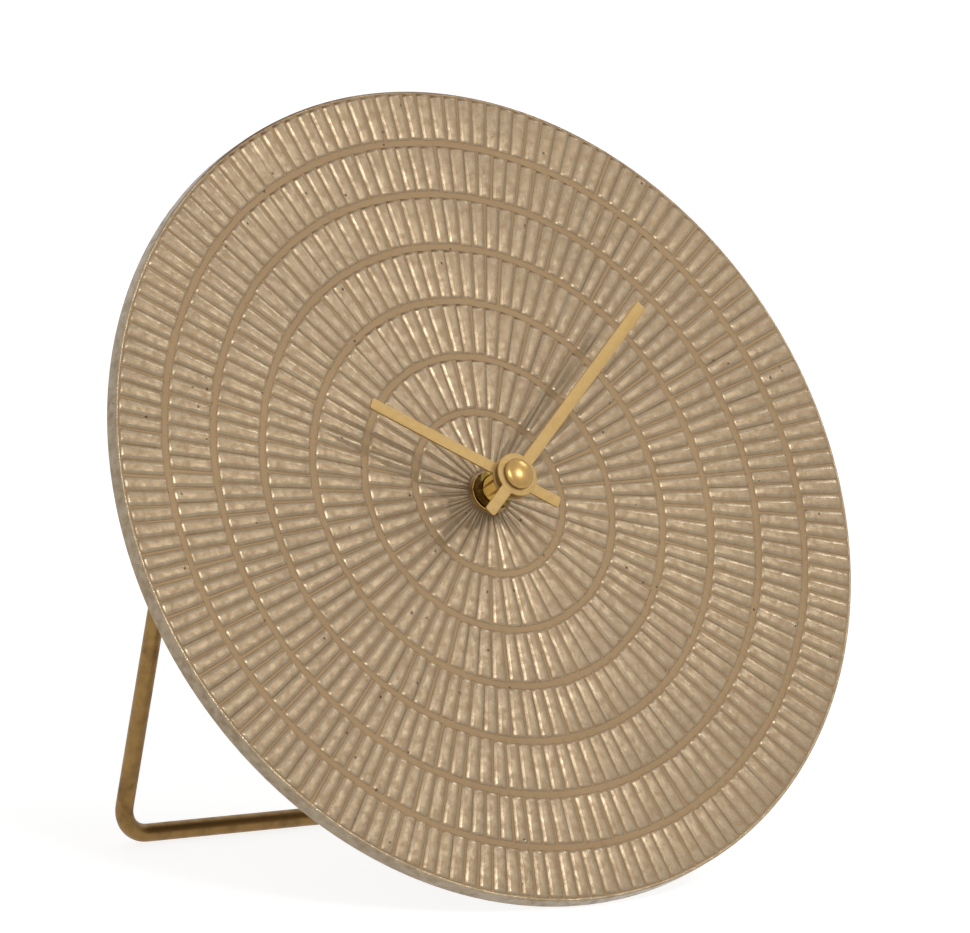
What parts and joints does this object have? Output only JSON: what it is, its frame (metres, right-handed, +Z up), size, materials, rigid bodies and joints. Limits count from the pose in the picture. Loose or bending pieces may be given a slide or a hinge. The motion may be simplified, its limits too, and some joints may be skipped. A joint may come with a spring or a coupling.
{
  "type": "table clock",
  "caption": "Round table clock: a cast disc with rings of radial bars leans on a folding bent-rod stand, with two stick hands and a battery movement behind.",
  "frame": {"origin": "on the table, under the middle of the clock's box", "axes": "+Z up; the dial faces -Y and up; +X to the right as seen from the front, along the stand's hinge"},
  "size_m": [0.21, 0.1114, 0.1819],
  "materials": {
    "cast_metal": "champagne cast metal, satin, slightly pitted",
    "hand_gold": "matte gold",
    "bright_brass": "polished",
    "aged_brass": "aged, satin",
    "steel": "plain",
    "copper_wire": "enamelled copper winding",
    "black_plastic": "moulded",
    "white_plastic": "moulded",
    "rubber": "matte",
    "green_board": "coated board",
    "battery_wrap": "plain wrapped sleeve"
  },
  "bodies": {
    "clock_head": {"dial_disc": "cast_metal", "dial_washer": "bright_brass", "dial_nut": "bright_brass", "threaded_bushing": "bright_brass", "rubber_washer": "rubber", "hinge_bracket_left": "aged_brass", "hinge_bracket_right": "aged_brass", "bracket_screw_left_lower": "steel", "bracket_screw_left_upper": "steel", "bracket_screw_right_lower": "steel", "bracket_screw_right_upper": "steel", "movement_case": "black_plastic", "movement_cover": "black_plastic", "battery": "battery_wrap", "positive_contact": "steel", "negative_contact": "steel", "circuit_board": "green_board", "quartz_crystal": "steel", "coil": "copper_wire", "stator": "steel"},
    "stand": {"stand_rod": "aged_brass"},
    "minute_group": {"minute_hand": "hand_gold", "hand_cap": "bright_brass", "minute_arbor": "steel", "setting_knob": "white_plastic"},
    "hour_group": {"hour_hand": "hand_gold", "hour_wheel": "white_plastic"},
    "minute_wheel_group": {"minute_wheel": "white_plastic"},
    "second_wheel_group": {"second_wheel": "white_plastic"},
    "third_wheel_group": {"third_wheel": "white_plastic"},
    "centre_wheel_group": {"centre_wheel": "white_plastic"},
    "transfer_wheel_group": {"transfer_wheel": "white_plastic"},
    "rotor_group": {"rotor": "steel"}
  },
  "joints": [
    {"name": "stand_fold", "type": "hinge", "parent": "clock_head", "child": "stand", "pos_m": [0, 0.02229, 0.11271], "axis": [1, 0, 0], "range_deg": [-41.4, 0]},
    {"name": "minute_turn", "type": "hinge", "parent": "clock_head", "child": "minute_group", "pos_m": [0, -0.00247, 0.09248], "axis": [0, 0.8572, -0.515], "continuous": true},
    {"name": "hour_turn", "type": "hinge", "parent": "clock_head", "child": "hour_group", "pos_m": [0, -0.00247, 0.09248], "axis": [0, 0.8572, -0.515], "continuous": true},
    {"name": "minute_wheel_turn", "type": "hinge", "parent": "clock_head", "child": "minute_wheel_group", "pos_m": [-0.01024, -0.0034, 0.09093], "axis": [0, 0.8572, -0.515], "continuous": true},
    {"name": "second_wheel_turn", "type": "hinge", "parent": "clock_head", "child": "second_wheel_group", "pos_m": [0.01352, 0.00368, 0.10271], "axis": [0, 0.8572, -0.515], "continuous": true},
    {"name": "third_wheel_turn", "type": "hinge", "parent": "clock_head", "child": "third_wheel_group", "pos_m": [0.00513, 0.00211, 0.10009], "axis": [0, 0.8572, -0.515], "continuous": true},
    {"name": "centre_wheel_turn", "type": "hinge", "parent": "clock_head", "child": "centre_wheel_group", "pos_m": [0, -0.00247, 0.09248], "axis": [0, 0.8572, -0.515], "continuous": true},
    {"name": "transfer_wheel_turn", "type": "hinge", "parent": "clock_head", "child": "transfer_wheel_group", "pos_m": [0.01352, 0.00692, 0.10811], "axis": [0, 0.8572, -0.515], "continuous": true},
    {"name": "rotor_turn", "type": "hinge", "parent": "clock_head", "child": "rotor_group", "pos_m": [0.00812, 0.00692, 0.10811], "axis": [0, 0.8572, -0.515], "continuous": true}
  ],
  "couplings": [
    {"joint": "hour_turn", "follows": "minute_turn", "ratio": 0.083333},
    {"joint": "minute_wheel_turn", "follows": "minute_turn", "ratio": -0.33333},
    {"joint": "third_wheel_turn", "follows": "second_wheel_turn", "ratio": -0.13333},
    {"joint": "centre_wheel_turn", "follows": "second_wheel_turn", "ratio": 0.016667},
    {"joint": "transfer_wheel_turn", "follows": "second_wheel_turn", "ratio": -6},
    {"joint": "rotor_turn", "follows": "second_wheel_turn", "ratio": 30}
  ]
}
